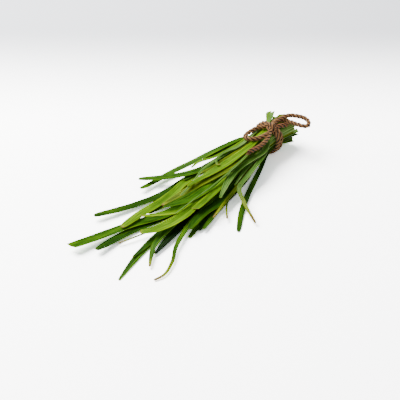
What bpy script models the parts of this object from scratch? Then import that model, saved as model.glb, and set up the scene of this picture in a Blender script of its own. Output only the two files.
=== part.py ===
"""A bunch of garlic chives, tied near its cut ends with a bow of jute twine and lying on a surface.

+X runs along the bunch from the cut ends to the leaf tips, +Y to its front side and +Z up.
The origin is the flat spot under the first turn of twine, where the bunch rests.
Sizes are in millimetres up to the point where a mesh is made.

Each leaf is a thin springy strip. It takes its course over the surface from its row in LEAVES, and
its heights from how all the strips, pressed by their weight and the tie, come to rest on one another.
"""

import math
import random

import bmesh
import bpy
import numpy as np

MM = 0.001

# Leaf blade
BLADE_THICK = 0.9
EDGE_THICK = 0.6
BASE_THICK = 0.8
TIP_THICK = 0.7
BASE_WIDTH = 2.8
BASE_LENGTH = 65.0
CHANNEL_SHARE = 0.07
LEAST_WIDTH = 0.9
STATION_STEP = 14.0
TIE_STATIONS = (-11.0, -4.0, 4.0, 11.0, 20.0)

# Length on each side of the tie over which it holds the leaves straight
HELD = 6.0

# Space between neighbours
GAP = 0.35

# Weight of a strip over its bending stiffness, per cubic millimetre, and how many times harder it is
# pressed at these distances from the tie
SAG = 6e-7
PRESS_REACH = (8.0, 9.0, 70.0, 100.0)
PRESS = (500.0, 8.0, 8.0, 1.0)

# How hard a neighbour pushes back, how much a strip resists each move, and the turns to come to rest
PUSH = 0.3
EASE = 1e-4
SETTLE_TURNS = 60

# Twine, and the bundle that it holds
TWINE = 2.8
TWINE_SIDES = 8
TWINE_FLAT = TWINE / 2 * math.cos(math.pi / TWINE_SIDES)
TURNS = (0.0, -3.1)
BUNDLE = 8.6
BUNDLE_LOW = GAP + 2 * TWINE_FLAT
KNOT = (0.5, 3.8)
KNOT_HALF = (4.0, 2.8, 2.6)

# Middle lines of the loose lengths of twine, from the knot outwards
LEFT_LOOP = [
    (0.5, 2.4, 22.6),
    (1.5, -0.8, 23.8),
    (5.4, -4.2, 22.8),
    (11.2, -5.9, 21.6),
    (17.2, -6.4, 20.8),
    (20.2, -4.2, 20.8),
    (19.7, 0.2, 21.8),
    (16.4, 3.4, 22.5),
    (12.5, 5.2, 23.0),
    (7.5, 6.0, 23.4),
    (2.5, 5.4, 22.8),
]
RIGHT_LOOP = [
    (0.5, 5.0, 22.8),
    (-3.5, 2.6, 24.4),
    (-8.0, 2.0, 25.2),
    (-12.0, 2.8, 25.7),
    (-18.1, 4.8, 26.4),
    (-22.0, 9.5, 26.2),
    (-24.2, 15.4, 26.0),
    (-23.4, 20.3, 24.8),
    (-20.4, 22.0, 24.0),
    (-17.8, 19.0, 23.6),
    (-16.8, 14.0, 23.6),
    (-16.2, 8.0, 23.4),
    (-15.0, 3.0, 22.6),
    (-10.0, -0.4, 22.2),
    (-3.0, 1.4, 22.2),
]
LEFT_TAIL = [
    (3.0, 5.0, 22.4),
    (7.7, 7.6, 22.4),
    (12.7, 9.0, 21.4),
    (18.5, 9.6, 20.6),
    (25.0, 9.4, 20.4),
    (32.5, 8.4, 19.6),
]
RIGHT_TAIL = [(-1.0, 4.6, 22.6), (-5.0, 5.2, 23.2), (-9.5, 6.8, 22.8), (-14.5, 9.0, 22.0)]

# Square cells of the ground plan in which the heights of neighbours are compared
CELL = 0.4
PLAN_LOW = np.array([-50.0, -75.0])
PLAN_HIGH = np.array([215.0, 85.0])

# How the blade narrows to its tip: over what length, how fully, and to what share of its width
TIPS = {
    "round": (24.0, 2.4, 0.32),
    "point": (36.0, 1.8, 0.20),
    "whip": (100.0, 1.0, 0.20),
    "cut": (14.0, 3.0, 0.85),
}

TONES = {
    "dark": (0.02, 0.12, 0.012),
    "mid": (0.06, 0.24, 0.01),
    "young": (0.19, 0.42, 0.01),
    "olive": (0.14, 0.24, 0.015),
    "pale": (0.20, 0.38, 0.08),
}


class Leaf:
    """One leaf: its place across the tie, its course beyond, and its width, roll, lift and tip."""

    def __init__(
        self, tie, course, width=5.0, tip="round", tone="mid", roll=(0, 0), lift=(0, 0), cut=None
    ):
        self.tie = tie
        self.course = course
        self.width = width
        self.tip = tip
        self.tone = tone
        self.roll = roll
        self.lift = lift
        self.cut = cut


# The leaves, layer by layer from the surface up. tie is the leaf's place across the tie, course the
# points that it passes beyond, roll its turn about its own length halfway and at the tip, and lift how
# far its cut end and its tip curve up.
LEAVES = [
    # First layer
    Leaf(-3.7, [(60, -4), (112, -3), (127, -7), (144, -9), (166, -9)], 6.2, tone="dark", lift=(0, 15)),
    Leaf(0, [(60, 5), (110, 6), (148, 12.4), (173.6, 20)], 5.2, "point"),
    Leaf(3.7, [(50, 12), (90, 19), (113, 25)], 4.0, cut=(-22, 4)),
    Leaf(7.2, [(21, 13), (36, 19), (49, 24), (69, 34), (86, 45.5)], 3.8, tone="dark"),
    Leaf(-7.2, [(60, -13), (80, -17), (101, -21)], 4.2, tone="dark", lift=(2, 0), cut=(-21, -1)),
    # Second layer
    Leaf(-3.7, [(60, -4), (111, -4), (125, -10), (155, -18), (177, -23)], 6.8, "cut", lift=(0, 14)),
    Leaf(0, [(60, 4), (118, 8), (153, 12)], 5.0, "point", "dark"),
    Leaf(3.7, [(50, 13), (77, 18), (104, 26)], 3.8, tone="dark"),
    Leaf(7.2, [(50, 17), (76, 21), (102, 28)], 3.4, tone="dark", cut=(-25, 1)),
    Leaf(
        -7.2, [(40, -15), (65, -19), (90, -20), (118, -27), (143, -36)],
        5.4, tone="dark", lift=(3, 7.6), cut=(-23, -4.5),
    ),
    # Third layer
    Leaf(-3.7, [(30, -11), (55, -9), (80, -6.5), (100, -9.5), (114, -12.5)], 5.0, tone="dark"),
    Leaf(7.2, [(40, 15), (67, 20), (78, 28), (83, 33)], 2.2, "whip", "pale", (0, 0), (3, 0), (-27, 1)),
    # Fourth layer
    Leaf(-3.7, [(45, -11), (66, -16), (92, -13), (125, -14), (139, -13)], 6.2, "round", "young", lift=(0, 4)),
    Leaf(0, [(60, 7), (104, 13), (121, 16.4), (141.5, 20.6)], 6.8, "point", "dark"),
    Leaf(
        3.7, [(60, 13), (105, 18.4), (126, 26), (146, 37.4), (153, 38.6), (159, 37)],
        5.0, "whip", roll=(0, -15),
    ),
    Leaf(7.2, [(50, 15), (75, 19), (95, 19), (111, 23)], 6.2, tone="dark"),
    Leaf(-7.2, [(45, -13), (60, -15.5), (73, -17)], 4.2, tone="dark", lift=(3, 0), cut=(-21, -6.5)),
    # Fifth layer
    Leaf(0, [(60, 4), (110, 7.4), (134, 1.2), (150.5, -4.6)], 2.6, "whip", "dark"),
    Leaf(3.7, [(60, 9), (103, 10), (121, 12), (139, 16.8), (152.6, 27)], 4.6, "point"),
    Leaf(7.2, [(50, 17), (70, 22), (91, 27)], 2.6, "point", "olive"),
    Leaf(-7.2, [(24, -14), (35, -18), (47, -22)], 4.0, tone="dark"),
    # Sixth layer
    Leaf(-7.2, [(15, -12), (32, -18), (48, -24), (65, -31), (99.4, -34.8)], 4.6, cut=(-22, -8), lift=(3.5, 14)),
    Leaf(-3.7, [(30, -7), (46, -10), (59, -14), (83, -31), (94, -42)], 5.2, cut=(-22, -5), lift=(2.5, 4.4)),
    Leaf(0, [(60, 4), (95, 9), (113, -1), (123.5, -10)], 5.0, "point", "young"),
    Leaf(3.7, [(50, 7), (84, 9.6), (104, 12.4), (120, 10.6), (130, 7.2), (136.5, 2)], 7.0, "round", "young"),
    Leaf(7.2, [(25, 10), (38, 12), (57, 17)], 3.2, "point", "pale"),
    # Seventh layer
    Leaf(0, [(45, 5), (76, 6), (91, 5), (109, -3)], 6.2, "point"),
    Leaf(3.7, [(30, 8), (59, 11), (73, 13), (97, 15)], 4.6, "cut", "young"),
    Leaf(7.2, [(24, 15), (40, 18), (59, 23), (65, 33), (73, 50)], 5.0, "whip", "pale", roll=(10, 60)),
    Leaf(7.2, [(22, 13), (33, 11), (45, 10), (58, 13), (77, 21)], 5.6, "point", "pale"),
    # Eighth layer
    Leaf(0, [(30, 5), (50, 6), (65, 1), (81, -3), (104, -9)], 6.6, "point", "olive"),
    Leaf(-3.7, [(40, -9), (64, -9), (73, -6), (81, -4), (93, -1.6)], 2.6, "whip", "pale", cut=(-17, 0)),
    Leaf(3.7, [(40, 9), (68, 10), (85, 9), (109, 8)], 2.4, "whip", "pale", roll=(30, 30)),
    # Top
    Leaf(-6, [(30, -8), (46, -12), (58, -18), (64, -18)], 2.6, "point", "young", (0, 0), (3, 0), (-19, -6.8)),
    Leaf(-3.2, [(25, 1), (40, -2), (54, -3), (66, -7)], 5.0, "point", "olive"),
    Leaf(0.4, [(29, 4), (42, 2), (54, 2), (68, -2), (83, -4)], 6.2, "point", "young"),
    Leaf(
        -4.8, [(25, -3), (35, -4), (44, -7), (51, -5), (55, -1), (53, 0)],
        2.2, "whip", "pale", lift=(2, 0), cut=(-18, -4),
    ),
]


def smooth_line(points, step):
    """Places about step apart on a smooth curve through the points."""
    p = np.array(points, float)
    at = along(p)
    slope = np.gradient(p, at, axis=0)
    fine = np.linspace(0.0, at[-1], int(at[-1] / step) + 2)
    i = np.clip(np.searchsorted(at, fine, side="right") - 1, 0, len(p) - 2)
    span = (at[i + 1] - at[i])[:, None]
    t = (fine[:, None] - at[i][:, None]) / span
    return (
        (2 * t**3 - 3 * t**2 + 1) * p[i]
        + (t**3 - 2 * t**2 + t) * span * slope[i]
        + (3 * t**2 - 2 * t**3) * p[i + 1]
        + (t**3 - t**2) * span * slope[i + 1]
    )


def along(line):
    """The distance of each of a line's points from its start."""
    return np.concatenate([[0.0], np.cumsum(np.linalg.norm(np.diff(line, axis=0), axis=1))])


def blade_corners(width, thick):
    """The six corners of a blade's section, across and up: a shallow channel above and a keel below."""
    half = width / 2
    edge = min(EDGE_THICK, thick) / 2
    rise = CHANNEL_SHARE * width
    upper = [(-half, edge + rise), (0, thick / 2), (half, edge + rise)]
    lower = [(half, rise - edge), (0, -thick / 2), (-half, rise - edge)]
    return np.array(upper + lower)


def between(corners, count):
    """The outline through the corners again, with count points on each side of it."""
    ends = np.roll(corners, -1, axis=0)
    share = np.arange(count)[:, None, None] / count
    return (corners + (ends - corners) * share).transpose(1, 0, 2).reshape(-1, corners.shape[1])


def bundle_arc(y):
    """Half the height of the round bundle at a place across it."""
    return np.sqrt(BUNDLE**2 - np.minimum(np.abs(y), 0.85 * BUNDLE) ** 2)


class Strip:
    """A leaf as a flat strip: its stations, and which cells of the ground plan it covers and how."""

    def __init__(self, leaf):
        self.at, self.tie_at, self.rings = leaf_rings(leaf)
        fine = np.linspace(0, self.at[-1], int(self.at[-1] / 0.35) + 2)
        dense = np.stack([between(ring, 10) for ring in self.rings]).reshape(len(self.at), -1)
        points = np.stack([np.interp(fine, self.at, column) for column in dense.T], axis=1)
        points = points.reshape(-1, 3)
        along_it = np.repeat(fine, len(points) // len(fine))
        cell = np.rint((points[:, :2] - PLAN_LOW) / CELL).astype(int)
        cell = cell[:, 0] * ACROSS + cell[:, 1]
        self.cell, self.low, self.low_at = lowest(cell, points[:, 2], along_it)
        near = np.array([dx * ACROSS + dy for dx in (-1, 0, 1) for dy in (-1, 0, 1)])
        cell, top, top_at = lowest(cell, -points[:, 2], along_it)
        cell = (cell[:, None] + near).ravel()
        self.near, top, self.top_at = lowest(cell, np.repeat(top, 9), np.repeat(top_at, 9))
        self.top = -top

    def spread(self, places):
        """The two stations on either side of each place along the strip, and their shares."""
        i = np.clip(np.searchsorted(self.at, places, side="right") - 1, 0, len(self.at) - 2)
        t = (places - self.at[i]) / (self.at[i + 1] - self.at[i])
        return np.stack([i, i + 1], axis=1), np.stack([1 - t, t], axis=1)

    def bending(self):
        """How the strip's bending energy depends on the heights of its stations."""
        step = np.diff(self.at)
        bend = np.zeros((len(self.at) - 2, len(self.at)))
        for k, (before, after) in enumerate(zip(step, step[1:])):
            both = before + after
            bend[k, k : k + 3] = 2 / (before * both), -2 / (before * after), 2 / (after * both)
        return bend.T @ (np.gradient(self.at)[1:-1, None] * bend)

    def pressing(self):
        """The downward force on each station."""
        press = np.interp(np.abs(self.at - self.tie_at), PRESS_REACH, PRESS)
        return SAG * np.gradient(self.at) * press


ACROSS = 1000


def lowest(cell, height, place):
    """For each cell that occurs, its lowest height and the place along the strip where that is."""
    order = np.lexsort((height, cell))
    cell, height, place = cell[order], height[order], place[order]
    first = np.concatenate([[True], cell[1:] != cell[:-1]])
    return cell[first], height[first], place[first]


def clearances(strips):
    """Every rule "this place of a strip stays so far above that place of a lower one", as arrays."""
    start = np.concatenate([[0], np.cumsum([len(strip.at) for strip in strips])])
    rules = []
    for upper, strip in enumerate(strips):
        stations, share = strip.spread(strip.low_at)
        x = PLAN_LOW[0] + CELL * (strip.cell // ACROSS)
        y = PLAN_LOW[1] + CELL * (strip.cell % ACROSS)
        at_tie = (x > TURNS[1] - TWINE) & (x < TURNS[0] + TWINE)
        floor = np.where(at_tie, BUNDLE_LOW + BUNDLE - bundle_arc(y), 0.0)
        none = np.zeros((len(x), 2))
        need = floor - strip.low
        rules.append((start[upper] + stations, share, none.astype(int), none, need, np.full(len(x), upper)))
        for lower in range(upper):
            under = strips[lower]
            _, mine, its = np.intersect1d(strip.cell, under.near, assume_unique=True, return_indices=True)
            if not len(mine):
                continue
            below, part = under.spread(under.top_at[its])
            need = GAP + under.top[its] - strip.low[mine]
            above = start[upper] + stations[mine]
            rules.append((above, share[mine], start[lower] + below, -part, need, np.full(len(mine), upper)))
    above, share, below, part, need, owner = (np.concatenate(column) for column in zip(*rules))
    return start, np.hstack([above, below]), np.hstack([share, part]), need, owner


def settle(strips):
    """The heights at which all the strips come to rest together, pressed by their weight and the tie."""
    start, index, weight, need, owner = clearances(strips)
    size = start[-1]
    stiff = 1e-12 * np.eye(size)
    pressed = np.zeros(size)
    for strip, low, high in zip(strips, start, start[1:]):
        stiff[low:high, low:high] += strip.bending()
        pressed[low:high] = strip.pressing()
    z = np.zeros(size)
    for turn in range(SETTLE_TURNS):
        short = need - (weight * z[index]).sum(axis=1) > 0
        i, w = index[short], weight[short]
        full = stiff + EASE * np.eye(size)
        np.add.at(full, (i[:, :, None], i[:, None, :]), PUSH * w[:, :, None] * w[:, None, :])
        push = EASE * z - pressed
        np.add.at(push, i, PUSH * w * need[short][:, None])
        new = np.linalg.solve(full, push)
        change = np.abs(new - z).max()
        z = new if turn < 6 else z + 0.7 * (new - z)
        if change < 0.01:
            break
    for upper in range(len(strips)):
        mine = owner == upper
        for _ in range(20):
            short = need[mine] - (weight[mine] * z[index[mine]]).sum(axis=1)
            if short.max() < 1e-4:
                break
            raised = np.zeros(size)
            for column in (0, 1):
                np.maximum.at(raised, index[mine][:, column], np.maximum(short, 0))
            z = z + raised
    return [z[low:high] for low, high in zip(start, start[1:])]


def leaf_rings(leaf):
    """The leaf's stations: distance from the cut, and the corners of its section with heights still flat."""
    tie = leaf.tie
    cut = (leaf.cut[0], leaf.cut[1] + 1.15 * tie)
    plan = smooth_line([cut, (-8, tie), (5, tie), *leaf.course], 1.0)
    far = along(plan)
    length = far[-1]
    tie_at = -leaf.cut[0]
    near_tie = tie_at + np.array(TIE_STATIONS)
    count = max(2, round((length - 6.0 - near_tie[-1]) / STATION_STEP))
    beyond = np.linspace(near_tie[-1], length - 6.0, count + 1)[1:]
    at = np.concatenate([[0.0], near_tie, beyond, [length - 1.8, length]])
    place = np.stack([np.interp(at, far, plan[:, k]) for k in (0, 1)], axis=1)
    heading = np.gradient(place, at, axis=0)
    heading /= np.linalg.norm(heading, axis=1, keepdims=True)
    side = np.stack([-heading[:, 1], heading[:, 0]], axis=1)
    tie_roll = 0.8 * math.degrees(math.asin(tie / BUNDLE)) * (1 - 2 * leaf.full)
    turns = [tie_at, tie_at + 35, (tie_at + length + 35) / 2, length]
    roll = np.interp(at, turns, [tie_roll, leaf.roll[0], leaf.roll[0], leaf.roll[1]])
    roll = np.radians(roll)[:, None]
    taper, power, least = TIPS[leaf.tip]
    taper = min(taper, 0.6 * length)
    near = np.clip((at - length + taper) / taper, 0, 1)
    near = (1 - near**power) ** (0.5 if leaf.tip == "round" else 1.0)
    base = np.clip((at - tie_at) / BASE_LENGTH, 0, 1)
    width = min(leaf.width, BASE_WIDTH) + max(leaf.width - BASE_WIDTH, 0) * base**2 * (3 - 2 * base)
    width *= least + (1 - least) * near
    width = np.maximum(width, LEAST_WIDTH)
    thick = np.interp(at, [tie_at, tie_at + 20, length], [BASE_THICK, BLADE_THICK, TIP_THICK])
    corners = np.stack([blade_corners(w, t) for w, t in zip(width, thick)])
    across = corners[..., 0] * np.cos(roll) - corners[..., 1] * np.sin(roll)
    up = corners[..., 0] * np.sin(roll) + corners[..., 1] * np.cos(roll)
    half = 0.5 * (tie_at + length)
    up += leaf.lift[0] * (np.clip(1 - at / (tie_at - HELD), 0, 1) ** 1.4)[:, None]
    up += leaf.lift[1] * (np.clip((at - half) / (length - half), 0, 1) ** 2)[:, None]
    flat = place[:, None, :] + side[:, None, :] * across[..., None]
    return at, tie_at, np.concatenate([flat, up[..., None]], axis=2)


def strip_mesh(name, rings):
    """A closed strip through the sections, split into triangles alike on its upper and lower faces."""
    mesh = bmesh.new()
    verts = [[mesh.verts.new(point) for point in ring * MM] for ring in rings]
    for here, there in zip(verts, verts[1:]):
        for j in range(6):
            k = (j + 1) % 6
            if j < 3:
                mesh.faces.new((here[j], there[j], there[k]))
                mesh.faces.new((here[j], there[k], here[k]))
            else:
                mesh.faces.new((here[j], there[j], here[k]))
                mesh.faces.new((there[j], there[k], here[k]))
    for end in (verts[0], verts[-1][::-1]):
        mesh.faces.new((end[0], end[1], end[4], end[5]))
        mesh.faces.new((end[1], end[2], end[3], end[4]))
    return finished(name, mesh)


def finished(name, mesh):
    bmesh.ops.recalc_face_normals(mesh, faces=mesh.faces)
    made = bpy.data.meshes.new(name)
    mesh.to_mesh(made)
    mesh.free()
    made.shade_smooth()
    made.set_sharp_from_angle(angle=math.radians(40))
    return made


def leaf_cloud(strips, placed):
    """Points all over the leaves near the tie."""
    clouds = []
    for strip, rings in zip(strips, placed):
        dense = np.stack([between(ring, 8) for ring in rings])
        fine = np.arange(0.0, strip.tie_at + 45.0, 0.4)
        i = np.searchsorted(strip.at, fine, side="right") - 1
        t = ((fine - strip.at[i]) / (strip.at[i + 1] - strip.at[i]))[:, None, None]
        clouds.append((dense[i] * (1 - t) + dense[i + 1] * t).reshape(-1, 3))
    return np.concatenate(clouds)


def turn_path(x, cloud):
    """The middle line of one turn of twine round the leaves, flat where it rests."""
    held = cloud[np.abs(cloud[:, 0] - x) < TWINE / 2 + GAP][:, 1:]
    middle = np.array([0.0, (held[:, 1].min() + held[:, 1].max()) / 2])
    angle = np.radians(np.arange(24) * 15.0 - 95.0)
    out = np.stack([np.cos(angle), np.sin(angle)], axis=1)
    reach = ((held - middle) @ out.T).max(axis=0) + GAP + TWINE / 2 + 0.12
    path = middle + out * reach[:, None]
    path[:, 1] = np.maximum(path[:, 1], TWINE_FLAT)
    path[[-1, 0, 1, 2], 1] = TWINE_FLAT
    return np.column_stack([np.full(len(path), x), path])


def loose_path(points, cloud):
    """A smooth line through the points, raised where it would touch the leaves."""
    line = smooth_line(points, 1.3)
    clear = TWINE / 2 + GAP + 0.1
    need = np.full(len(line), -100.0)
    for k, point in enumerate(line):
        apart = np.linalg.norm(cloud[:, :2] - point[:2], axis=1)
        close = apart < clear
        if close.any():
            need[k] = (cloud[close, 2] + np.sqrt(clear**2 - apart[close] ** 2)).max()
    need = np.max([np.roll(need, k) for k in (-2, -1, 0, 1, 2)], axis=0)
    short = np.maximum(need - line[:, 2], 0)
    line[:, 2] += np.mean([np.roll(short, k) for k in (-1, 0, 1)], axis=0)
    return line


def tube(name, line, aside, closed=False, ends=(1.0, 1.0)):
    """A closed eight-sided tube along a line, one of its flats facing away from the line's inner side."""
    if closed:
        ahead = np.roll(line, -1, axis=0) - np.roll(line, 1, axis=0)
    else:
        ahead = np.gradient(line, axis=0)
    ahead /= np.linalg.norm(ahead, axis=1, keepdims=True)
    out = np.cross(ahead, aside)
    out /= np.linalg.norm(out, axis=1, keepdims=True)
    side = np.cross(ahead, out)
    turn = math.pi / TWINE_SIDES * (1 + 2 * np.arange(TWINE_SIDES))
    radius = np.interp(np.arange(len(line)), [0, 3, len(line) - 4, len(line) - 1], [ends[0], 1, 1, ends[1]])
    radius = TWINE / 2 * radius[:, None, None]
    rings = line[:, None] + radius * (
        np.cos(turn)[None, :, None] * out[:, None] + np.sin(turn)[None, :, None] * side[:, None]
    )
    mesh = bmesh.new()
    verts = [[mesh.verts.new(point) for point in ring * MM] for ring in rings]
    following = verts[1:] + verts[:1] if closed else verts[1:]
    for here, there in zip(verts, following):
        for j in range(TWINE_SIDES):
            k = (j + 1) % TWINE_SIDES
            mesh.faces.new((here[j], there[j], there[k], here[k]))
    if not closed:
        mesh.faces.new(verts[0])
        mesh.faces.new(verts[-1])
    return finished(name, mesh)


def knot_mesh(name, middle):
    """A rounded lump, longer along the bunch than across it."""
    mesh = bmesh.new()
    bmesh.ops.create_uvsphere(mesh, u_segments=14, v_segments=9, radius=1.0)
    for vert in mesh.verts:
        across, up, length = vert.co
        place = (length * KNOT_HALF[0], across * KNOT_HALF[1], up * KNOT_HALF[2])
        vert.co = [(m + p) * MM for m, p in zip(middle, place)]
    return finished(name, mesh)


def build_twine(strips, placed):
    """Two turns of twine, the knot, two loops and two loose ends, joined into one body."""
    cloud = leaf_cloud(strips, placed)
    jute = new_material("jute_twine", (0.28, 0.14, 0.06), 0.9)
    under = cloud[np.linalg.norm(cloud[:, :2] - np.array(KNOT), axis=1) < KNOT_HALF[0]]
    knot_up = under[:, 2].max() + GAP + 0.1 + KNOT_HALF[2]
    meshes = [knot_mesh("knot", (*KNOT, knot_up))]
    for x in TURNS:
        meshes.append(tube("turn", turn_path(x, cloud), np.array([1.0, 0.0, 0.0]), closed=True))
    for points in (LEFT_LOOP, RIGHT_LOOP):
        meshes.append(tube("loop", loose_path(points, cloud), np.array([0.0, 0.0, 1.0])))
    for points in (LEFT_TAIL, RIGHT_TAIL):
        meshes.append(tube("tail", loose_path(points, cloud), np.array([0.0, 0.0, 1.0]), ends=(1.0, 0.8)))
    body = add_object("twine_tie", meshes[0], jute)
    others = bpy.data.collections.new("twine_lengths")
    bpy.context.scene.collection.children.link(others)
    for number, mesh in enumerate(meshes[1:]):
        piece = bpy.data.objects.new(f"twine_length_{number}", mesh)
        piece.hide_render = True
        piece.display_type = "WIRE"
        others.objects.link(piece)
    union = body.modifiers.new("joined", "BOOLEAN")
    union.operation = "UNION"
    union.solver = "EXACT"
    union.operand_type = "COLLECTION"
    union.collection = others
    bpy.context.view_layer.update()
    joined = bpy.data.meshes.new_from_object(body.evaluated_get(bpy.context.evaluated_depsgraph_get()))
    body.modifiers.clear()
    body.data = joined
    body.data.materials.clear()
    body.data.materials.append(jute)
    for piece in list(others.objects):
        bpy.data.objects.remove(piece)
    bpy.data.collections.remove(others)


def new_material(name, colour, rough):
    made = bpy.data.materials.new(name)
    made.use_nodes = True
    shader = made.node_tree.nodes["Principled BSDF"]
    shader.inputs["Base Color"].default_value = (*colour, 1)
    shader.inputs["Roughness"].default_value = rough
    return made


def add_object(name, mesh, material):
    made = bpy.data.objects.new(name, mesh)
    made.data.materials.append(material)
    bpy.context.scene.collection.objects.link(made)
    return made


def build_leaves():
    materials = {tone: new_material(f"leaf_{tone}", colour, 0.45) for tone, colour in TONES.items()}
    draw = random.Random(4)
    for number, leaf in enumerate(LEAVES):
        leaf.full = number / (len(LEAVES) - 1)
        if leaf.cut is None:
            leaf.cut = (-draw.uniform(19, 23.5), 0)
    strips = [Strip(leaf) for leaf in LEAVES]
    placed = []
    for number, (leaf, strip, z) in enumerate(zip(LEAVES, strips, settle(strips)), start=1):
        rings = strip.rings + np.array([0, 0, 1]) * z[:, None, None]
        placed.append(rings)
        name = f"leaf_{number:02d}"
        add_object(name, strip_mesh(name, rings), materials[leaf.tone])
    return strips, placed


def main():
    for old in list(bpy.data.objects):
        bpy.data.objects.remove(old)
    strips, placed = build_leaves()
    build_twine(strips, placed)


main()
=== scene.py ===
"""A bunch of garlic chives lying on a pale table, tied near its cut ends with a bow of jute twine.

The frame gives each leaf's course and width. Every leaf becomes a fine blade with a channelled
section, parallel veins, a painted highlight along its margins and a tip of its own, and the twine
becomes one length of three-strand jute that is wound twice round the leaves and tied in a bow.
Lengths are in millimetres up to the point where a mesh is made.
"""

import math
import random

import bmesh
import bpy
import numpy as np
from mathutils import Matrix, Vector


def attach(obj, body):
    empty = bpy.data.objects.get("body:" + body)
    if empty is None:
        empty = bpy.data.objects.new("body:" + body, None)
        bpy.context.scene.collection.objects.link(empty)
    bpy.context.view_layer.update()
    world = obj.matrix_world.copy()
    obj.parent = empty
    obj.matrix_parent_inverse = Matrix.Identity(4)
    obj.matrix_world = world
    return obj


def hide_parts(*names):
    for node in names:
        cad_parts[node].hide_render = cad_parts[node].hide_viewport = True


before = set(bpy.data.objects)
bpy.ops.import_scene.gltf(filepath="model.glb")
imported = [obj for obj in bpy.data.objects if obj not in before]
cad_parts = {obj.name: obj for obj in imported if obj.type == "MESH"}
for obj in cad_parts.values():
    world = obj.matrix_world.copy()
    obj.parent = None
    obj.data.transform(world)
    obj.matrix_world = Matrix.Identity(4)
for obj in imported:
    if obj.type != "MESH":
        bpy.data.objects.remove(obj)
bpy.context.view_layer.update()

MM = 0.001

# Camera: where it looks, from how far, and at what angle
LOOK_AT = (77.0, 2.3, 0.0)
CAMERA_AWAY = 668.0
CAMERA_TURN = 132.2
CAMERA_RISE = 38.0
LENS = 85.0
SENSOR = 36.0

# A leaf's solid: corners of one section, and the share of its width in which a margin's corners lie
SOLID_CORNERS = 6
MARGIN_SHARE = 0.25

# Leaf blade: sections about a step apart and closer at the tip, each with this many columns
BLADE_STEP = 0.8
TIP_STATIONS = (1.2, 0.8, 0.5, 0.28, 0.12, 0.03, 0.0)
BLADE_COLUMNS = 9

# Its thickness, the ridges below and above its midrib, and its channel's depth over its width
BLADE_FULL = 0.74
KEEL = 0.10
RIB = 0.03
CHANNEL = 0.07
CHANNEL_MIDDLE = 0.55

# How far it is drawn past its solid: on each side, and in addition over the length at the cut end
EDGE_OUT = 0.28
CUT_FLARE = 0.55
FLARE_LENGTH = 16.0

# A cut end on the front side turns outwards, in degrees, over this length
CUT_TURN = 28.0
CUT_TURN_LENGTH = 18.0
FRONT_SIDE = 3.0

# Slants, over half the width: of the cut end at most, and of a snipped tip, with their lengths
CUT_SLANT = 0.5
CUT_SLANT_LENGTH = 5.0
SNIP_SLANT = 0.55
SNIP_SLANT_LENGTH = 8.0

# The length over which a grown and a snipped tip close, and the share of the width that they keep
GROWN_TIP = (0.9, 0.12)
SNIPPED_TIP = (0.15, 0.9)
SNIPPED_FROM = 0.7

# How much a blade wavers: its roll in degrees, width, channel and margins, and the length of a wave
ROLL_WAVER, ROLL_WAVE = 3.5, 22.0
WIDTH_WAVER, WIDTH_WAVE = 0.025, 9.0
CHANNEL_WAVER, CHANNEL_WAVE = 0.5, 16.0
MARGIN_WAVER, MARGIN_WAVE = 0.10, 7.0

# The least height over the table
TABLE_CLEAR = 0.02

# Starts of the random numbers: of the first blade, the strands and the fibres, and the step from one
# blade's pattern to the next
BLADE_SEED, STRAND_SEED, FIBRE_SEED = 100, 71, 72
PATTERN_STEP = 7.3

# Twine: its thickness, its strands and how far each lies from the middle, and the length of a twist
TWINE = 2.8
STRANDS = 3
STRAND_HALF = 0.80
STRAND_OUT = 0.86
TWINE_PITCH = 9.5
TWINE_STEP = 0.35
LOOSE_STEP = 1.3
STRAND_SIDES = 18

# Bundles of fibres round a strand: how many, and how deep the furrows between them are
BUNDLES = ((3, 0.05), (5, 0.05), (8, 0.045))
BUNDLE_DRIFT = 4.8

# How much a strand's distance from the middle and its thickness waver, and the length of a wave
LAY_WAVER, LAY_WAVE = 0.06, 6.0
PLY_WAVER, PLY_WAVE = 0.07, 5.0

# Loose fibres along the twine and at each end: how many, half their thickness, and the strand number
# that they go by
LOOSE_FIBRES, LOOSE_HALF = 520, 0.045
END_FIBRES, END_HALF = 34, 0.07
LOOSE_NUMBER = 4.0

# The gap that the twine keeps from the leaves, its two turns along X, the knot's place over them and
# its reach, and how far along the bunch the twine gets
SNUG = 0.12
TURNS = (0.0, -3.1)
TURN_PLACES = 24
KNOT = (0.5, 3.8)
KNOT_REACH = 4.0
TWINE_REACH = 50.0

# Middle lines of the loose lengths of twine, from the knot outwards
LEFT_LOOP = [
    (0.5, 2.4, 22.6),
    (1.5, -0.8, 23.8),
    (5.4, -4.2, 22.8),
    (11.2, -5.9, 21.6),
    (17.2, -6.4, 20.8),
    (20.2, -4.2, 20.8),
    (19.7, 0.2, 21.8),
    (16.4, 3.4, 22.5),
    (12.5, 5.2, 23.0),
    (7.5, 6.0, 23.4),
    (2.5, 5.4, 22.8),
]
RIGHT_LOOP = [
    (-3.5, 2.6, 24.4),
    (-8.0, 2.0, 25.2),
    (-12.0, 2.8, 25.7),
    (-18.1, 4.8, 26.4),
    (-22.0, 9.5, 26.2),
    (-24.2, 15.4, 26.0),
    (-23.4, 20.3, 24.8),
    (-20.4, 22.0, 24.0),
    (-17.8, 19.0, 23.6),
    (-16.8, 14.0, 23.6),
    (-16.2, 8.0, 23.4),
    (-15.0, 3.0, 22.6),
    (-10.0, -0.4, 22.2),
    (-3.0, 1.4, 22.2),
]
LEFT_TAIL = [
    (3.0, 5.0, 22.4),
    (7.7, 7.6, 22.4),
    (12.7, 9.0, 21.4),
    (18.5, 9.6, 20.6),
    (25.0, 9.4, 20.4),
    (32.5, 8.4, 19.6),
]
RIGHT_TAIL = [(-1.0, 4.6, 22.6), (-5.0, 5.2, 23.2), (-9.5, 6.8, 22.8), (-14.5, 9.0, 22.0)]

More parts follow.
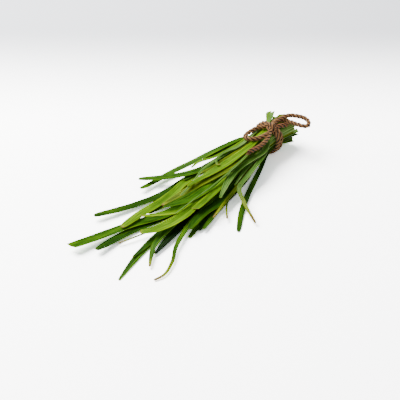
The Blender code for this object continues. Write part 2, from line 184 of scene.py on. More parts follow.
# What sets single leaves apart, by number: a lighter or deeper green than their tone, and how far
# back from the tip they have dried
TINTS = {1: 0.05, 6: 0.15, 8: -0.5, 13: 0.1, 14: -0.75, 24: 0.15, 28: 0.1, 30: 0.1, 36: 0.1}
DRIED = {
    12: 5.0, 13: 1.2, 15: 9.0, 18: 7.0, 19: 3.0, 20: 6.0,
    24: 1.5, 25: 0.8, 29: 12.0, 31: 2.0, 37: 1.5,
}

# Colours of the leaves: body, deep green of the furrows and shade side, and light green of the lighter
# streaks and of the painted highlight along the margins
GREENS = {
    "leaf_dark": ((0.024, 0.105, 0.000), (0.002, 0.016, 0.000), (0.130, 0.290, 0.000)),
    "leaf_mid": ((0.056, 0.190, 0.000), (0.005, 0.034, 0.000), (0.230, 0.460, 0.000)),
    "leaf_young": ((0.155, 0.350, 0.000), (0.030, 0.105, 0.000), (0.440, 0.720, 0.000)),
    "leaf_olive": ((0.130, 0.205, 0.000), (0.024, 0.054, 0.000), (0.350, 0.470, 0.000)),
    "leaf_pale": ((0.130, 0.300, 0.034), (0.022, 0.085, 0.005), (0.500, 0.720, 0.220)),
}

# Colours of the tips where they dry and of the cut faces
DRY_BROWN = (0.20, 0.13, 0.03, 1)
DRY_STRAW = (0.40, 0.32, 0.09, 1)
TIP_YELLOW = (0.42, 0.50, 0.01, 1)
CUT_FACE = (0.34, 0.50, 0.10, 1)

# Colours of the jute: its dark and light fibres, lifted fibres, warm patches and ends, and the painted
# shade between its strands
JUTE_DARK = (0.080, 0.026, 0.007, 1)
JUTE_LIGHT = (0.46, 0.210, 0.065, 1)
JUTE_PALE = (0.86, 0.58, 0.28, 1)
JUTE_WARM = (0.44, 0.160, 0.045, 1)
JUTE_END = (0.30, 0.080, 0.026, 1)
JUTE_PAINTED_SHADE = (0.020, 0.006, 0.002, 1)

# Table: its colour, how bright the camera sees it near the bunch and, with painted shade for the light
# falling off, far behind it, over which metres behind the bunch that turns, and half its width in metres
TABLE_PALE = (0.84, 0.84, 0.85)
TABLE_NEAR = (6.2, 6.2, 6.3)
TABLE_FAR_PAINTED_SHADE = (1.7, 1.74, 1.86)
TABLE_DIMS = (0.03, 0.20)
TABLE_HALF = 3.0


def along(line):
    """The distance of each of a line's points from its start."""
    return np.concatenate([[0.0], np.cumsum(np.linalg.norm(np.diff(line, axis=0), axis=1))])


def smooth_through(at, values, fine):
    """A smooth curve through values given at some places, read at finer places."""
    slope = np.gradient(values, at, axis=0)
    i = np.clip(np.searchsorted(at, fine, side="right") - 1, 0, len(at) - 2)
    span = at[i + 1] - at[i]
    t = (fine - at[i]) / span
    if values.ndim > 1:
        span, t = span[:, None], t[:, None]
    return (
        (2 * t**3 - 3 * t**2 + 1) * values[i]
        + (t**3 - 2 * t**2 + t) * span * slope[i]
        + (3 * t**2 - 2 * t**3) * values[i + 1]
        + (t**3 - t**2) * span * slope[i + 1]
    )


def smooth_line(points, step):
    """Places about step apart on a smooth curve through the points."""
    p = np.array(points, float)
    at = along(p)
    return smooth_through(at, p, np.linspace(0.0, at[-1], int(at[-1] / step) + 2))


def unit(vectors):
    """The vectors, each brought to a length of 1."""
    return vectors / np.linalg.norm(vectors, axis=-1, keepdims=True)


def slow_noise(draw, places, length):
    """A smooth random wave between about -1 and 1, that changes over the given length."""
    knots = np.arange(-2, places[-1] / length + 3) * length
    heights = np.array([draw.uniform(-1, 1) for _ in knots])
    return smooth_through(knots, heights, places)


# Leaves


def solid_rings(node):
    """The corners of a leaf's solid, ring after ring from its cut end.

    The next ring is made of the nearest corners that the last one is joined to. Where a flat
    stretch has lost a corner, an edge may reach past the next ring: what lies further off is left.
    """
    mesh = bmesh.new()
    mesh.from_mesh(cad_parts[node].data)
    bmesh.ops.remove_doubles(mesh, verts=mesh.verts, dist=1e-7)
    mesh.verts.index_update()
    cut = min(mesh.verts, key=lambda vert: vert.co.x)
    ring = sorted(mesh.verts, key=lambda vert: (vert.co - cut.co).length)[:SOLID_CORNERS]
    rings, seen = [], set()
    while ring:
        seen.update(ring)
        rings.append(np.array([vert.co for vert in ring]) / MM)
        middle = Vector(rings[-1].mean(axis=0)) * MM
        linked = {edge.other_vert(vert) for vert in ring for edge in vert.link_edges} - seen
        away = sorted(((vert.co - middle).length, vert.index, vert) for vert in linked)
        near = max(1.5 * away[2][0], 5 * MM) if len(away) > 2 else 0.0
        ring = [vert for far, _, vert in away[:SOLID_CORNERS] if far < near]
    mesh.free()
    return rings


def leaf_sections(node):
    """A leaf's sections in the frame, from its cut end: the middle, the side direction and the width."""
    rings = solid_rings(node)
    middles = np.array([ring.mean(axis=0) for ring in rings])
    heading = unit(np.gradient(middles, axis=0))
    side = np.array([-heading[0, 1], heading[0, 0], 0.0])
    found = []
    for corners in rings:
        reach = corners @ side
        outer = MARGIN_SHARE * (reach.max() - reach.min())
        right = corners[reach < reach.min() + outer].mean(axis=0)
        left = corners[reach > reach.max() - outer].mean(axis=0)
        width = np.linalg.norm(left - right)
        side = (left - right) / width
        found.append(((left + right) / 2, side, width))
    middle, sides, widths = (np.array(column) for column in zip(*found))
    return middle, sides, widths


def blade_section():
    """Across and up for the points round a blade of half width 1: the upper side, then the lower side."""
    turn = np.linspace(math.pi, 0.0, BLADE_COLUMNS + 1)
    across = np.cos(turn)
    full = np.sin(turn) ** 0.7
    upper = np.stack([across, full], axis=1)
    lower = np.stack([across[::-1], -full[::-1]], axis=1)
    return np.concatenate([upper, lower[1:-1]])


def blade_stations(length):
    """Distances from the cut end at which a blade gets a section."""
    fine = np.linspace(0.0, length, int(length / BLADE_STEP))
    return np.concatenate([fine[:-2], length - np.array(TIP_STATIONS)])


def freedom(fine):
    """How freely a blade wavers: hardly at the tie, and fully further out."""
    return np.interp(fine, [0, 25, 60], [0.1, 0.3, 1.0])


def blade_course(draw, fine, at, middle, sides):
    """A blade's middle line and its heading, side and up directions at the fine stations."""
    line = smooth_through(at, middle, fine)
    side = unit(smooth_through(at, sides, fine))
    heading = unit(np.gradient(line, fine, axis=0))
    side = unit(side - heading * (side * heading).sum(axis=1, keepdims=True))
    up = np.cross(heading, side)
    roll = np.radians(ROLL_WAVER) * freedom(fine) * slow_noise(draw, fine, ROLL_WAVE)
    to_front = np.clip(line[0, 1] / FRONT_SIDE, 0, 1)
    roll -= np.radians(CUT_TURN) * np.clip(1 - fine / CUT_TURN_LENGTH, 0, 1) * to_front
    cos, sin = np.cos(roll)[:, None], np.sin(roll)[:, None]
    return line, heading, side * cos + up * sin, up * cos - side * sin


def blade_half(draw, fine, at, widths, snipped):
    """Half the width of a blade at the fine stations."""
    half = np.interp(fine, at, widths) / 2
    half = np.convolve(np.pad(half, 3, mode="edge"), np.ones(7) / 7, mode="valid")
    half *= 1 + WIDTH_WAVER * slow_noise(draw, fine, WIDTH_WAVE)
    half += EDGE_OUT + CUT_FLARE * np.clip(1 - fine / FLARE_LENGTH, 0, 1)
    tip, least = SNIPPED_TIP if snipped else GROWN_TIP
    close = np.clip(1 - (fine[-1] - fine) / tip, 0, 1)
    return half * np.maximum(np.sqrt(1 - close**2), least)


def blade_heights(draw, fine, half, u, v):
    """Heights over the middle line of the points round each section, which lie at u across."""
    wave = freedom(fine)
    full = BLADE_FULL / 2 * np.interp(fine[-1] - fine, [0, 0.4, 3, 30], [0.25, 0.7, 0.85, 1.0])
    full *= np.interp(half, [0.3, 0.9, 2.0], [0.55, 0.85, 1.0])
    channel = CHANNEL * 2 * half * (1 + CHANNEL_WAVER * wave * slow_noise(draw, fine, CHANNEL_WAVE))
    rise = channel[:, None] * (np.abs(u) ** 1.5 - CHANNEL_MIDDLE)
    thick = full[:, None] * v
    keel = -KEEL * np.exp(-((u / 0.16) ** 2)) * (v < 0) + RIB * np.exp(-((u / 0.1) ** 2)) * (v > 0)
    margins = np.array([slow_noise(draw, fine, MARGIN_WAVE) for _ in range(2)]).T
    ripple = MARGIN_WAVER * wave[:, None] * margins[:, (u > 0).astype(int)]
    return rise + thick + keel * full[:, None] / full.max() + ripple * u**4


def blade_points(draw, node):
    """The points round each section of a leaf's blade, and the distances of the sections."""
    middle, sides, widths = leaf_sections(node)
    at = along(middle)
    fine = blade_stations(at[-1])
    snipped = widths[-1] > SNIPPED_FROM * widths.max()
    line, heading, side, up = blade_course(draw, fine, at, middle, sides)
    half = blade_half(draw, fine, at, widths, snipped)
    u, v = blade_section().T
    height = blade_heights(draw, fine, half, u, v)
    points = line[:, None] + side[:, None] * (u * half[:, None])[..., None]
    points = points + up[:, None] * height[..., None]
    slant = draw.uniform(-CUT_SLANT, CUT_SLANT)
    near_cut = np.clip(1 - fine / CUT_SLANT_LENGTH, 0, 1)[:, None]
    ahead = np.abs(near_cut * slant * (u + np.sign(slant)) * half[:, None])
    points += heading[:, None] * ahead[..., None]
    if snipped:
        near_tip = np.clip(1 - (fine[-1] - fine) / SNIP_SLANT_LENGTH, 0, 1)[:, None]
        points -= heading[:, None] * (near_tip * SNIP_SLANT * (1 + u) * half[:, None])[..., None]
    points[..., 2] = np.maximum(points[..., 2], TABLE_CLEAR)
    return points, fine


def skin_blade(name, points):
    """A closed mesh over the rings of points, with a strip of quads across each end."""
    mesh = bmesh.new()
    verts = [[mesh.verts.new(point) for point in ring * MM] for ring in points]
    count = points.shape[1]
    for here, there in zip(verts, verts[1:]):
        for j in range(count):
            k = (j + 1) % count
            mesh.faces.new((here[j], there[j], there[k], here[k]))
    for ring, turned in ((verts[0], False), (verts[-1], True)):
        for j in range(BLADE_COLUMNS):
            low, high = -j % count, -(j + 1) % count
            corners = [ring[j], ring[j + 1], ring[high], ring[low]]
            corners = [c for i, c in enumerate(corners) if c not in corners[:i]]
            mesh.faces.new(corners[::-1] if turned else corners)
    bmesh.ops.recalc_face_normals(mesh, faces=mesh.faces)
    made = bpy.data.meshes.new(name)
    mesh.to_mesh(made)
    mesh.free()
    made.shade_smooth()
    made.set_sharp_from_angle(angle=math.radians(60))
    return made


def blade_mesh(name, number, node):
    """A leaf as one fine closed blade, with the places of its points on it, and those points."""
    draw = random.Random(BLADE_SEED + number)
    points, fine = blade_points(draw, node)
    made = skin_blade(name, points)
    count = points.shape[1]
    across = np.tile(blade_section()[:, 0], len(fine))
    place = np.stack([np.repeat(fine, count), across, np.repeat(fine[-1] - fine, count)], axis=1)
    tint = TINTS.get(number, 0.0) + draw.uniform(-0.15, 0.15)
    dried = DRIED.get(number, draw.uniform(0.05, 0.3))
    keep_places(made, "blade_place", place)
    keep_places(made, "leaf_own", np.tile((tint, dried, number * PATTERN_STEP), (len(place), 1)))
    return made, points


def keep_places(mesh, name, values):
    """Keeps three numbers for each point of a mesh under a name, for its material to read."""
    layer = mesh.attributes.new(name, "FLOAT_VECTOR", "POINT")
    layer.data.foreach_set("vector", np.asarray(values, np.float32).ravel())


# Twine


def turn_line(x, cloud):
    """The middle line of one turn of twine round the leaves, from below and flat where it rests."""
    held = cloud[np.abs(cloud[:, 0] - x) < TWINE / 2][:, 1:]
    middle = np.array([0.0, (held[:, 1].min() + held[:, 1].max()) / 2])
    angle = np.radians(np.arange(TURN_PLACES) * 360.0 / TURN_PLACES - 90.0)
    out = np.stack([np.cos(angle), np.sin(angle)], axis=1)
    reach = ((held - middle) @ out.T).max(axis=0) + SNUG + TWINE / 2
    path = middle + out * reach[:, None]
    path[:, 1] = np.maximum(path[:, 1], TWINE / 2 + TABLE_CLEAR)
    return np.column_stack([np.full(len(path), x), path])


def lifted(line, cloud):
    """A line of twine, raised where it would touch the leaves."""
    clear = TWINE / 2 + SNUG
    need = np.full(len(line), -100.0)
    for k, point in enumerate(line):
        apart = np.linalg.norm(cloud[:, :2] - point[:2], axis=1)
        close = apart < clear
        if close.any():
            need[k] = (cloud[close, 2] + np.sqrt(clear**2 - apart[close] ** 2)).max()
    need = np.max([np.roll(need, k) for k in (-2, -1, 0, 1, 2)], axis=0)
    short = np.maximum(need - line[:, 2], 0)
    line[:, 2] += np.mean([np.roll(short, k) for k in (-1, 0, 1)], axis=0)
    return line


def twine_line(cloud):
    """The middle line of the whole twine: left end, knot, two turns, knot, bow loops, knot, right end."""
    under = cloud[np.linalg.norm(cloud[:, :2] - np.array(KNOT), axis=1) < KNOT_REACH]
    knot = under[:, 2].max() + TWINE
    back, front = turn_line(TURNS[1], cloud), turn_line(TURNS[0], cloud)
    left_end, left_loop, right_loop, right_end = (
        lifted(smooth_line(course, LOOSE_STEP), cloud)
        for course in (LEFT_TAIL, LEFT_LOOP, RIGHT_LOOP, RIGHT_TAIL)
    )
    order = [(k + TURN_PLACES // 2 + 1) % TURN_PLACES for k in range(TURN_PLACES - 1)]
    points = [
        *left_end[::-1][::3],
        (0.2, 3.6, knot - 1.0),
        (-2.2, 1.4, knot - 1.7),
        *back[order][1:],
        *front[order][1:-1],
        (0.4, 5.8, knot - 1.6),
        (1.0, 6.7, knot + 0.2),
        (1.0, 5.6, knot + 2.0),
        (0.6, 3.4, knot + 2.7),
        (0.4, 1.2, knot + 2.0),
        *left_loop[3:-2:3],
        (2.2, 5.0, knot + 0.2),
        (-0.8, 3.8, knot + 0.9),
        *right_loop[1:-2:3],
        (-1.2, 1.6, knot - 0.6),
        (0.9, 1.4, knot - 0.4),
        (2.2, 3.2, knot - 0.2),
        (1.2, 5.2, knot + 0.0),
        *right_end[2::3],
    ]
    return smooth_line(points, TWINE_STEP)


def carried_sides(line):
    """Two directions square to a line that turn as little as they can along it."""
    heading = unit(np.gradient(line, axis=0))
    side = np.cross(heading[0], (0.0, 0.0, 1.0))
    sides = []
    for ahead in heading:
        side = side - ahead * (side @ ahead)
        side = side / np.linalg.norm(side)
        sides.append(side)
    sides = np.array(sides)
    return sides, np.cross(heading, sides)


def strand_points(line, number, draw):
    """The points round one twisted strand, their places on it, and how bare they lie.

    A place is the distance along, the turn round the strand and the strand's number. How bare a point
    lies is the cosine of its turn from the outside of the twine, with its distance from the nearer end;
    where a point faces inwards, the jute's colour gets painted shade.
    """
    at = along(line)
    side, up = carried_sides(line)
    fray = np.minimum(at, at[-1] - at)
    lay = 2 * math.pi * (at / TWINE_PITCH + number / STRANDS)
    out = STRAND_OUT * (1 + LAY_WAVER * slow_noise(draw, at, LAY_WAVE))
    out *= np.interp(fray, [0, 7], [1.7, 1.0])
    away = side * np.cos(lay)[:, None] + up * np.sin(lay)[:, None]
    own = line + away * out[:, None]
    heading = unit(np.gradient(own, axis=0))
    away = unit(away - heading * (away * heading).sum(axis=1, keepdims=True))
    beside = np.cross(heading, away)
    turn = 2 * math.pi * np.arange(STRAND_SIDES) / STRAND_SIDES
    twist = 2 * math.pi * at / (0.9 * TWINE_PITCH)
    half = STRAND_HALF * (1 + PLY_WAVER * slow_noise(draw, at, PLY_WAVE))
    half *= np.interp(fray, [0, 0.6, 6], [0.25, 0.62, 1.0])
    fibres = np.zeros((len(at), STRAND_SIDES))
    for count, deep in BUNDLES:
        drift = BUNDLE_DRIFT * slow_noise(draw, at, PLY_WAVE)[:, None]
        fibres += deep * np.sin(count * (turn[None, :] + twist[:, None]) + drift + draw.uniform(0, 6))
    radius = half[:, None] * (1 + fibres)
    points = own[:, None, :] + radius[..., None] * (
        np.cos(turn)[None, :, None] * away[:, None] + np.sin(turn)[None, :, None] * beside[:, None]
    )
    round_it = (turn[None, :] + twist[:, None]).ravel()
    own_number = np.full(len(round_it), float(number))
    place = np.stack([np.repeat(at, STRAND_SIDES), round_it, own_number], axis=1)
    bare = np.tile(np.cos(turn), len(at))
    bare = np.stack([bare, np.repeat(fray, STRAND_SIDES), np.zeros(len(bare))], axis=1)
    return points, place, bare


def tube_faces(rings, around, first=0):
    """The faces of a closed tube of rings, whose points are numbered from first."""
    faces = []
    for ring in range(rings - 1):
        low = first + ring * around
        for j in range(around):
            k = (j + 1) % around
            faces.append((low + j, low + k, low + around + k, low + around + j))
    faces.append(tuple(first + j for j in range(around))[::-1])
    faces.append(tuple(first + (rings - 1) * around + j for j in range(around)))
    return faces


def mesh_of(name, points, faces):
    """A smooth-shaded mesh from points in millimetres."""
    made = bpy.data.meshes.new(name)
    made.from_pydata((np.asarray(points) * MM).tolist(), [], faces)
    made.validate()
    made.shade_smooth()
    return made


def twine_mesh(line):
    """Three strands laid round one another along the line."""
    draw = random.Random(STRAND_SEED)
    points, places, bares, faces = [], [], [], []
    for number in range(STRANDS):
        rings, place, bare = strand_points(line, number, draw)
        faces += tube_faces(len(rings), STRAND_SIDES, sum(map(len, points)))
        points.append(rings.reshape(-1, 3))
        places.append(place)
        bares.append(bare)
    points = np.concatenate(points)
    points[:, 2] = np.maximum(points[:, 2], TABLE_CLEAR)
    mesh = mesh_of("jute_twine_bow", points, faces)
    keep_places(mesh, "fibre_place", np.concatenate(places))
    keep_places(mesh, "strand_bare", np.concatenate(bares))
    return mesh


class Fibres:
    """Collects thin three-sided fibres, each along a course of its own."""

    def __init__(self, draw):
        self.draw = draw
        self.points, self.faces, self.places = [], [], []

    def add(self, course, half):
        steps = unit(np.gradient(course, axis=0))
        across = unit(np.cross(steps, (0.31, 0.52, 0.79)))
        other = np.cross(steps, across)
        sizes = half * np.linspace(1.0, 0.35, len(course))
        first = len(self.points)
        for place, a, b, size in zip(course, across, other, sizes):
            for turn in (0.0, 2.094, 4.189):
                self.points.append(place + size * (math.cos(turn) * a + math.sin(turn) * b))
                self.places.append((self.draw.uniform(0, 50), 0.0, LOOSE_NUMBER))
        self.faces.extend(tube_faces(len(course), 3, first))


def add_loose_fibres(fibres, draw, line, heading, side, up):
    """Fibres that leave the twine at a low angle along its whole length."""
    share = np.linspace(0, 1, 6)[:, None]
    for _ in range(LOOSE_FIBRES):
        k = draw.randrange(20, len(line) - 20)
        turn = draw.uniform(0, 2 * math.pi)
        away = side[k] * math.cos(turn) + up[k] * math.sin(turn)
        ahead = heading[k] * draw.choice((-1, 1))
        length = draw.uniform(1.2, 3.4)
        rise = draw.uniform(0.15, 0.55)
        drift = np.cross(ahead, away) * draw.uniform(-0.6, 0.6)
        start = line[k] + away * (TWINE / 2 - 0.25)
        bend = away * length * rise * share**1.5
        fibres.add(start + ahead * length * share + bend + drift * share**2, LOOSE_HALF)


def add_end_fibres(fibres, draw, end, ahead, side, up):
    """The frayed fibres of one end of the twine, which spread and droop a little."""
    share = np.linspace(0, 1, 7)[:, None]
    for _ in range(END_FIBRES):
        turn = draw.uniform(0, 2 * math.pi)
        spread = draw.uniform(0.1, 1.0)
        away = side * math.cos(turn) + up * math.sin(turn)
        length = draw.uniform(1.5, 4.2)
        start = end - ahead * 1.5 + away * spread * 0.8
        bend = away * spread * 1.1 * share**1.5 + np.array([0, 0, -0.5]) * share**2
        fibres.add(start + ahead * length * share + bend, END_HALF)


def fibre_mesh(line):
    """Loose fibres that stand off the twine, and the frayed fibres of its two ends."""
    draw = random.Random(FIBRE_SEED)
    side, up = carried_sides(line)
    heading = unit(np.gradient(line, axis=0))
    fibres = Fibres(draw)
    add_loose_fibres(fibres, draw, line, heading, side, up)
    add_end_fibres(fibres, draw, line[0], -heading[0], side[0], up[0])
    add_end_fibres(fibres, draw, line[-1], heading[-1], side[-1], up[-1])
    points = np.array(fibres.points)
    points[:, 2] = np.maximum(points[:, 2], 0.05)
    mesh = mesh_of("twine_fibres", points, fibres.faces)
    keep_places(mesh, "fibre_place", fibres.places)
    keep_places(mesh, "strand_bare", np.tile((1.0, 9.0, 0.0), (len(points), 1)))
    return mesh


# Materials


def node_group(name, ins, outs):
    """A new shader node group with the named sockets, and its input and output nodes."""
    kinds = {"number": "NodeSocketFloat", "colour": "NodeSocketColor", "vector": "NodeSocketVector"}
    group = bpy.data.node_groups.new(name, "ShaderNodeTree")
    for socket, kind, value in ins:
        made = group.interface.new_socket(socket, in_out="INPUT", socket_type=kinds[kind])
        made.default_value = value
    for socket, kind in outs:
        group.interface.new_socket(socket, in_out="OUTPUT", socket_type=kinds[kind])
    given = group.nodes.new("NodeGroupInput").outputs
    out = group.nodes.new("NodeGroupOutput").inputs
    return group, Nodes(group), given, out


class Nodes:
    """Adds nodes to a tree and joins them: a value or a socket may feed any input."""

    def __init__(self, tree):
        self.tree = tree

    def feed(self, socket, value):
        if isinstance(value, bpy.types.NodeSocket):
            self.tree.links.new(value, socket)
        else:
            socket.default_value = value

    def math(self, kind, *values):
        node = self.tree.nodes.new("ShaderNodeMath")
        node.operation = kind
        for socket, value in zip(node.inputs, values):
            self.feed(socket, value)
        return node.outputs[0]

    def mix(self, share, first, second):
        node = self.tree.nodes.new("ShaderNodeMix")
        node.data_type = "RGBA"
        self.feed(node.inputs["Factor"], share)
        self.feed(node.inputs[6], first)
        self.feed(node.inputs[7], second)
        return node.outputs[2]

    def spread(self, value, low, high, to_low=0.0, to_high=1.0):
        node = self.tree.nodes.new("ShaderNodeMapRange")
        node.interpolation_type = "SMOOTHSTEP"
        for socket, given in zip(node.inputs, (value, low, high, to_low, to_high)):
            self.feed(socket, given)
        return node.outputs[0]

    def noise(self, place, scale, detail=3.0, rough=0.55):
        node = self.tree.nodes.new("ShaderNodeTexNoise")
        self.feed(node.inputs["Vector"], place)
        self.feed(node.inputs["Scale"], scale)
        self.feed(node.inputs["Detail"], detail)
        self.feed(node.inputs["Roughness"], rough)
        return node.outputs["Fac"]

    def at(self, x, y, z, scale, detail=3.0):
        """Noise at a place made of three values."""
        return self.noise(self.together(x, y, z), scale, detail)

    def apart(self, vector):
        node = self.tree.nodes.new("ShaderNodeSeparateXYZ")
        self.feed(node.inputs[0], vector)
        return node.outputs

    def together(self, x, y, z):
        node = self.tree.nodes.new("ShaderNodeCombineXYZ")
        for socket, value in zip(node.inputs, (x, y, z)):
            self.feed(socket, value)
        return node.outputs[0]

    def kept(self, name):
        node = self.tree.nodes.new("ShaderNodeAttribute")
        node.attribute_name = name
        return node.outputs["Vector"]

    def group(self, group, **values):
        node = self.tree.nodes.new("ShaderNodeGroup")
        node.node_tree = group
        for name, value in values.items():
            self.feed(node.inputs[name.replace("_", " ")], value)
        return node.outputs


def make_veins_group():
    """Fine veins that run the length of a blade, a little uneven, and the line of the midrib."""
    group, n, given, out = node_group(
        "blade veins",
        [("Place", "vector", (0, 0, 0)), ("Own", "vector", (0, 0, 0)), ("Count", "number", 9.0)],
        [("Vein", "number"), ("Midrib", "number"), ("Height", "number")],
    )
    length, across, _ = n.apart(given["Place"])
    seed = n.apart(given["Own"])[2]
    drift = n.at(n.math("MULTIPLY", length, 0.02), seed, across, 3.0, 2.0)
    turned = n.math("MULTIPLY", across, n.math("MULTIPLY", given["Count"], math.pi))
    wave = n.math("SINE", n.math("ADD", turned, n.math("MULTIPLY", drift, 3.0)))
    strength = n.at(n.math("MULTIPLY", length, 0.03), n.math("MULTIPLY", across, 4.0), seed, 2.0)
    vein = n.math("MULTIPLY", n.spread(wave, 0.0, 1.0), n.spread(strength, 0.3, 0.7))
    rib = n.spread(n.math("ABSOLUTE", across), 0.02, 0.16, 1.0, 0.0)
    n.feed(out["Vein"], vein)
    n.feed(out["Midrib"], rib)
    n.feed(out["Height"], n.math("SUBTRACT", vein, n.math("MULTIPLY", rib, 0.9)))
    return group


def make_green_group():
    """The green of a blade: long soft streaks, deep furrows, a painted highlight along the margins and a
    lighter stem end.
    """
    group, n, given, out = node_group(
        "blade green",
        [
            ("Place", "vector", (0, 0, 0)),
            ("Own", "vector", (0, 0, 0)),
            ("Vein", "number", 0.0),
            ("Midrib", "number", 0.0),
            ("Body", "colour", (0.1, 0.3, 0.02, 1)),
            ("Deep", "colour", (0.03, 0.1, 0.01, 1)),
            ("Light", "colour", (0.3, 0.5, 0.05, 1)),
        ],
        [("Colour", "colour"), ("Streak", "number")],
    )
    length, across, to_tip = n.apart(given["Place"])
    tint, _, seed = n.apart(given["Own"])
    slow = n.at(n.math("MULTIPLY", length, 0.012), n.math("MULTIPLY", across, 0.35), seed, 3.0, 2.0)
    streak = n.at(n.math("MULTIPLY", length, 0.045), n.math("MULTIPLY", across, 3.5), seed, 2.2, 4.0)
    light = n.math("ADD", n.spread(slow, 0.3, 0.75, -0.50, 0.40), tint)
    light = n.math("ADD", light, n.spread(streak, 0.30, 0.72, -0.50, 0.45))
    light = n.math("ADD", light, n.spread(length, 6.0, 45.0, 0.3, 0.0))
    light = n.math("ADD", light, n.spread(to_tip, 2.0, 30.0, 0.12, 0.0))
    # painted highlight: both margins of every blade are made lighter
    margin = n.spread(n.math("ABSOLUTE", across), 0.80, 0.985)
    light = n.math("ADD", light, n.math("MULTIPLY", margin, 0.90))
    vein, midrib = n.math("MULTIPLY", given["Vein"], 0.28), n.math("MULTIPLY", given["Midrib"], 0.35)
    light = n.math("SUBTRACT", light, n.math("ADD", vein, midrib))
    body = n.mix(n.math("MAXIMUM", n.math("MULTIPLY", light, -1.0), 0.0), given["Body"], given["Deep"])
    light = n.math("MINIMUM", n.math("MAXIMUM", light, 0.0), 1.0)
    n.feed(out["Colour"], n.mix(light, body, given["Light"]))
    n.feed(out["Streak"], streak)
    return group


def make_dry_group():
    """Straw and brown where a tip has dried, the yellow that leads up to it, and the pale cut face."""
    group, n, given, out = node_group(
        "dry tip",
        [
            ("Place", "vector", (0, 0, 0)),
            ("Own", "vector", (0, 0, 0)),
            ("Green", "colour", (0.1, 0.3, 0.02, 1)),
        ],
        [("Colour", "colour"), ("Dry", "number")],
    )
    length, across, to_tip = n.apart(given["Place"])
    _, reach, seed = n.apart(given["Own"])
    rag = n.at(n.math("MULTIPLY", length, 0.4), n.math("MULTIPLY", across, 1.5), seed, 1.6)
    edge = n.math("MULTIPLY", reach, n.spread(rag, 0.25, 0.75, 0.55, 1.35))
    dry = n.spread(n.math("DIVIDE", to_tip, edge), 0.55, 1.0, 1.0, 0.0)
    yellow = n.spread(n.math("DIVIDE", to_tip, edge), 0.8, 3.2, 0.75, 0.0)
    straw = n.mix(n.spread(rag, 0.35, 0.65), DRY_BROWN, DRY_STRAW)
    colour = n.mix(yellow, given["Green"], TIP_YELLOW)
    colour = n.mix(dry, colour, straw)
    cut = n.spread(length, 0.05, 0.5, 0.8, 0.0)
    n.feed(out["Colour"], n.mix(cut, colour, CUT_FACE))
    n.feed(out["Dry"], dry)
    return group


def new_material(name):
    """A new material, its nodes and the inputs of its Principled BSDF."""
    made = bpy.data.materials.new(name)
    made.use_nodes = True
    return made, Nodes(made.node_tree), made.node_tree.nodes["Principled BSDF"].inputs


def bump(n, height, strength, distance):
    """The normal that a height gives, with the distance in metres."""
    node = n.tree.nodes.new("ShaderNodeBump")
    n.feed(node.inputs["Strength"], strength)
    n.feed(node.inputs["Distance"], distance)
    n.feed(node.inputs["Height"], height)
    return node.outputs[0]


def leaf_material(slot, veins, green, dry):
    """A waxy green blade in one of the bunch's tones."""
    body, deep, light = GREENS[slot]
    made, n, shader = new_material(f"{slot}_blade")
    place, own = n.kept("blade_place"), n.kept("leaf_own")
    lines = n.group(veins, Place=place, Own=own, Count=9.0)
    colour = n.group(
        green, Place=place, Own=own, Vein=lines["Vein"], Midrib=lines["Midrib"],
        Body=(*body, 1), Deep=(*deep, 1), Light=(*light, 1),
    )
    dried = n.group(dry, Place=place, Own=own, Green=colour["Colour"])
    n.feed(shader["Base Color"], dried["Colour"])
    waxy = n.spread(colour["Streak"], 0.2, 0.8, 0.34, 0.46)
    n.feed(shader["Roughness"], n.math("ADD", waxy, n.math("MULTIPLY", dried["Dry"], 0.3)))
    n.feed(shader["Normal"], bump(n, lines["Height"], 0.5, 0.00009))
    shader["Specular IOR Level"].default_value = 0.09
    shader["Subsurface Weight"].default_value = 0.10
    shader["Subsurface Radius"].default_value = (0.35, 1.0, 0.12)
    shader["Subsurface Scale"].default_value = 0.0012
    return made


def jute_material():
    """Rough brown jute: fibres along each strand, painted shade between the strands, pale where fibres
    lift.
    """
    made, n, shader = new_material("jute_twine_fibre")
    length, round_it, strand = n.apart(n.kept("fibre_place"))
    ply = n.math("MULTIPLY", strand, 13.0)
    place = n.together(n.math("MULTIPLY", length, 0.22), n.math("MULTIPLY", round_it, 2.2), ply)
    streak = n.noise(place, 2.4, 4.0, 0.65)
    patch = n.at(n.math("MULTIPLY", length, 0.08), round_it, ply, 1.1, 2.0)
    bare, from_end, _ = n.apart(n.kept("strand_bare"))
    colour = n.mix(n.spread(streak, 0.32, 0.50), JUTE_DARK, JUTE_LIGHT)
    colour = n.mix(n.spread(streak, 0.50, 0.68), colour, JUTE_PALE)
    colour = n.mix(n.spread(patch, 0.40, 0.7, 0.0, 0.4), colour, JUTE_WARM)
    colour = n.mix(n.spread(from_end, 6.0, 26.0, 0.6, 0.0), colour, JUTE_END)
    # painted shade: the sides of the strands that face inwards, between the strands, go near black
    colour = n.mix(n.spread(bare, 0.20, 0.85, 1.0, 0.0), colour, JUTE_PAINTED_SHADE)
    n.feed(shader["Base Color"], colour)
    n.feed(shader["Roughness"], n.spread(streak, 0.2, 0.8, 0.95, 0.75))
    n.feed(shader["Normal"], bump(n, streak, 0.9, 0.00018))
    shader["Specular IOR Level"].default_value = 0.25
    shader["Sheen Weight"].default_value = 0.25
    shader["Sheen Roughness"].default_value = 0.5
    return made


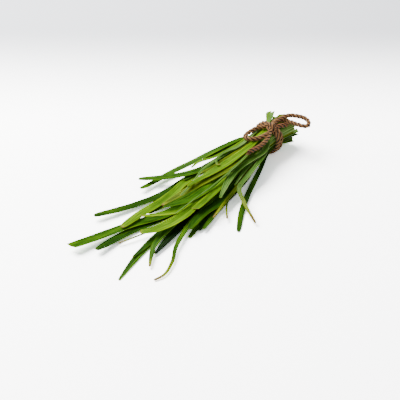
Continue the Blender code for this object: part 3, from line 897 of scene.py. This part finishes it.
def table_material():
    """A pale matt surface that looks brightly lit, and greyer far behind the bunch with painted shade
    where the light falls off.
    """
    made, n, shader = new_material("pale_table")
    x, y, _ = n.apart(n.tree.nodes.new("ShaderNodeNewGeometry").outputs["Position"])
    behind = n.math("ADD", n.math("MULTIPLY", x, -0.741), n.math("MULTIPLY", y, -0.672))
    # painted shade: the table turns greyer far behind the bunch, as if the light fell off there
    seen = n.mix(n.spread(behind, *TABLE_DIMS), (*TABLE_NEAR, 1), (*TABLE_FAR_PAINTED_SHADE, 1))
    to_camera = n.tree.nodes.new("ShaderNodeLightPath").outputs["Is Camera Ray"]
    n.feed(shader["Base Color"], n.mix(to_camera, (*TABLE_PALE, 1), seen))
    shader["Roughness"].default_value = 0.8
    shader["Specular IOR Level"].default_value = 0.0
    return made


# Scene


def place_piece(name, mesh, material, slot, *nodes):
    """A piece of the bunch that takes the place of one or more of the frame's nodes."""
    piece = bpy.data.objects.new(name, mesh)
    bpy.context.scene.collection.objects.link(piece)
    piece.data.materials.append(material)
    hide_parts(*nodes)
    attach(piece, "root")
    return piece


def make_camera():
    """The camera, at the photograph's angle on the bunch."""
    turn, rise = math.radians(CAMERA_TURN), math.radians(CAMERA_RISE)
    back = Vector((math.sin(turn) * math.cos(rise), -math.cos(turn) * math.cos(rise), math.sin(rise)))
    right = Vector((math.cos(turn), math.sin(turn), 0.0))
    made = bpy.data.cameras.new("camera")
    made.lens = LENS
    made.sensor_width = SENSOR
    made.clip_start = 0.01
    made.dof.use_dof = False
    camera = bpy.data.objects.new("camera", made)
    turned = Matrix((right, back.cross(right), back)).transposed().to_4x4()
    camera.matrix_world = Matrix.Translation((Vector(LOOK_AT) + back * CAMERA_AWAY) * MM) @ turned
    bpy.context.scene.collection.objects.link(camera)
    bpy.context.scene.camera = camera


def make_light(name, towards, away, size, watts, colour):
    """A soft square light that shines on the bunch from a direction."""
    made = bpy.data.lights.new(name, "AREA")
    made.size = size
    made.energy = watts
    made.color = colour
    light = bpy.data.objects.new(name, made)
    direction = Vector(towards).normalized()
    light.location = Vector(LOOK_AT) * MM + direction * away
    light.rotation_euler = direction.to_track_quat("Z", "Y").to_euler()
    bpy.context.scene.collection.objects.link(light)


def make_table():
    """The plain table that the bunch lies on."""
    mesh = bpy.data.meshes.new("pale_table")
    corners = [(x * TABLE_HALF, y * TABLE_HALF, 0) for x, y in ((-1, -1), (1, -1), (1, 1), (-1, 1))]
    mesh.from_pydata(corners, [], [(0, 1, 2, 3)])
    table = bpy.data.objects.new("pale_table", mesh)
    table.data.materials.append(table_material())
    bpy.context.scene.collection.objects.link(table)


def make_surroundings():
    """Soft light from all round, from a large window on the left and from a weak panel on the right."""
    world = bpy.data.worlds.new("soft_studio")
    world.use_nodes = True
    light = world.node_tree.nodes["Background"].inputs
    light["Color"].default_value = (0.95, 0.97, 1.0, 1)
    light["Strength"].default_value = 0.22
    bpy.context.scene.world = world
    make_light("window", (0.05, -0.75, 1.0), 1.1, 0.8, 20.5, (1.0, 0.99, 0.96))
    make_light("side_panel", (0.2, 1.0, 0.9), 1.2, 0.9, 1.5, (0.97, 0.98, 1.0))


def make_leaves():
    """A blade for every leaf; gives the points of the blades that the twine may touch."""
    veins, green, dry = make_veins_group(), make_green_group(), make_dry_group()
    materials = {slot: leaf_material(slot, veins, green, dry) for slot in GREENS}
    cloud = []
    for node in sorted(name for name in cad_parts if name.startswith("leaf_")):
        number = int(node.split("_")[1])
        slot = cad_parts[node].material_slots[0].material.name
        slot = next(known for known in GREENS if slot.startswith(known))
        mesh, points = blade_mesh(f"blade_{number:02d}", number, node)
        place_piece(f"blade_{number:02d}", mesh, materials[slot], slot, node)
        points = points.reshape(-1, 3)
        cloud.append(points[points[:, 0] < TWINE_REACH])
    return np.concatenate(cloud)


def make_twine(cloud):
    """The twine and its fibres, laid on the points of the leaves."""
    line = twine_line(cloud)
    jute = jute_material()
    bow = place_piece("jute_twine_bow", twine_mesh(line), jute, "jute_twine", "twine_tie")
    loose = place_piece("twine_fibres", fibre_mesh(line), jute, "jute_twine", "twine_tie")
    print("twine length in millimetres:", round(along(line)[-1], 1))


make_camera()
make_surroundings()
make_table()
make_twine(make_leaves())
